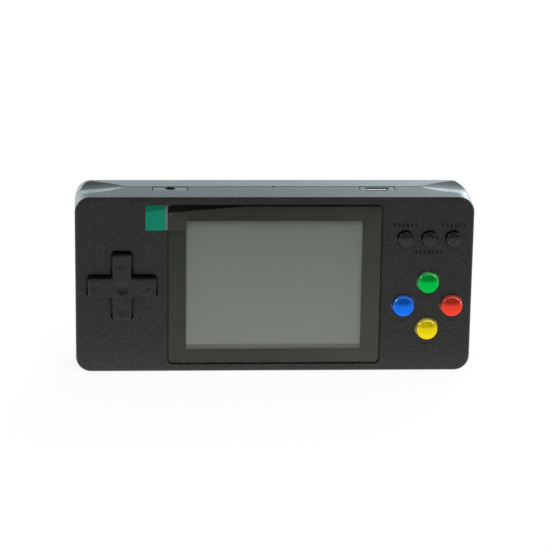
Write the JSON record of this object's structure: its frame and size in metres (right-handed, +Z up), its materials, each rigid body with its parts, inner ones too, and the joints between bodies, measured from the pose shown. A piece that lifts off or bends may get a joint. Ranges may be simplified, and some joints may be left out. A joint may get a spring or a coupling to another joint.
{
  "type": "handheld game console",
  "caption": "Landscape handheld game console with a flush lens screen, cross pad, coloured round buttons, top sockets and a battery door.",
  "frame": {"origin": "centre of the bottom edge that the console stands on, in the middle of its box", "axes": "+X to the right of someone facing the screen, +Y from the screen to the back, +Z up"},
  "size_m": [0.136, 0.028, 0.062],
  "materials": {
    "shell_black": "fine spark texture, moulded",
    "lens_glass": "polished, black printed border",
    "film_clear": "thin clear film",
    "tab_green": "printed tape",
    "adhesive_black": "soft",
    "display_grey": "satin polariser",
    "backlight_white": "satin",
    "foam_grey": "open foam",
    "ribbon_amber": "polyimide film",
    "board_green": "solder mask",
    "chip_black": "moulded epoxy",
    "tin": "tinned sheet",
    "steel": "zinc plated",
    "brass": "plated contact",
    "light_clear": "clear moulding",
    "magnet_grey": "sintered",
    "cone_paper": "pressed pulp",
    "lead_red": "insulated wire",
    "battery_wrap": "shrink wrap",
    "rubber_grey": "moulded silicone",
    "pad_black": "fine satin",
    "pivot_grey": "acetal",
    "green_candy": "pearl gloss",
    "blue_candy": "pearl gloss",
    "red_candy": "pearl gloss",
    "yellow_candy": "pearl gloss"
  },
  "bodies": {
    "console": {"front_shell": "shell_black", "rear_shell": "shell_black", "screen_lens": "lens_glass", "lens_adhesive": "adhesive_black", "protective_film": "film_clear", "film_pull_tab": "tab_green", "lcd_gasket": "adhesive_black", "lcd_panel": "display_grey", "lcd_backlight": "backlight_white", "lcd_foam_pads": "foam_grey", "lcd_ribbon": "ribbon_amber", "main_pcb": "board_green", "game_chip": "chip_black", "memory_chip": "chip_black", "crystal": "tin", "capacitors": "tin", "usb_port": "tin", "av_jack": "chip_black", "charge_led": "light_clear", "power_switch": "chip_black", "volume_control": "steel", "speaker_frame": "steel", "speaker_cone": "cone_paper", "speaker_magnet": "magnet_grey", "speaker_gasket": "foam_grey", "speaker_leads": "lead_red", "battery_pack": "battery_wrap", "contact_block": "chip_black", "contact_springs": "brass", "dpad_membrane": "rubber_grey", "action_membrane": "rubber_grey", "function_membrane": "rubber_grey", "case_screws": "steel", "pcb_screws": "steel"},
    "dpad_pivot": {"dpad_pivot": "pivot_grey"},
    "dpad": {"dpad": "pad_black"},
    "green_button": {"green_button": "green_candy"},
    "blue_button": {"blue_button": "blue_candy"},
    "red_button": {"red_button": "red_candy"},
    "yellow_button": {"yellow_button": "yellow_candy"},
    "reset_button": {"reset_button": "pad_black"},
    "select_button": {"select_button": "pad_black"},
    "start_button": {"start_button": "pad_black"},
    "power_knob": {"power_knob": "pad_black"},
    "volume_wheel": {"volume_wheel": "pad_black"},
    "battery_door": {"battery_door": "shell_black"}
  },
  "joints": [
    {"name": "dpad_up_down", "type": "hinge", "parent": "console", "child": "dpad_pivot", "pos_m": [-0.05185, -0.00476, 0.031], "axis": [1, 0, 0], "range_deg": [-3.5, 3.5], "stiffness_Nm_per_rad": 0.2, "deforming": ["dpad_membrane"]},
    {"name": "dpad_left_right", "type": "hinge", "parent": "dpad_pivot", "child": "dpad", "pos_m": [-0.05185, -0.00476, 0.031], "axis": [0, 0, 1], "range_deg": [-3.5, 3.5], "stiffness_Nm_per_rad": 0.2},
    {"name": "green_press", "type": "slide", "parent": "console", "child": "green_button", "axis": [0, 1, 0], "range_m": [0, 0.0012], "stiffness_N_per_m": 1200, "deforming": ["action_membrane"]},
    {"name": "blue_press", "type": "slide", "parent": "console", "child": "blue_button", "axis": [0, 1, 0], "range_m": [0, 0.0012], "stiffness_N_per_m": 1200},
    {"name": "red_press", "type": "slide", "parent": "console", "child": "red_button", "axis": [0, 1, 0], "range_m": [0, 0.0012], "stiffness_N_per_m": 1200},
    {"name": "yellow_press", "type": "slide", "parent": "console", "child": "yellow_button", "axis": [0, 1, 0], "range_m": [0, 0.0012], "stiffness_N_per_m": 1200},
    {"name": "reset_press", "type": "slide", "parent": "console", "child": "reset_button", "axis": [0, 1, 0], "range_m": [0, 0.0009], "stiffness_N_per_m": 1500, "deforming": ["function_membrane"]},
    {"name": "select_press", "type": "slide", "parent": "console", "child": "select_button", "axis": [0, 1, 0], "range_m": [0, 0.0009], "stiffness_N_per_m": 1500},
    {"name": "start_press", "type": "slide", "parent": "console", "child": "start_button", "axis": [0, 1, 0], "range_m": [0, 0.0009], "stiffness_N_per_m": 1500},
    {"name": "power_slide", "type": "slide", "parent": "console", "child": "power_knob", "axis": [0, 0, 1], "range_m": [0, 0.002]},
    {"name": "volume_turn", "type": "hinge", "parent": "console", "child": "volume_wheel", "pos_m": [0.06065, 0.0013, 0.034], "axis": [0, 1, 0], "range_deg": [0, 270]},
    {"name": "battery_door_swing", "type": "hinge", "parent": "console", "child": "battery_door", "pos_m": [-0.029, 0.0131, 0.031], "axis": [0, 0, 1], "range_deg": [0, 70]}
  ]
}
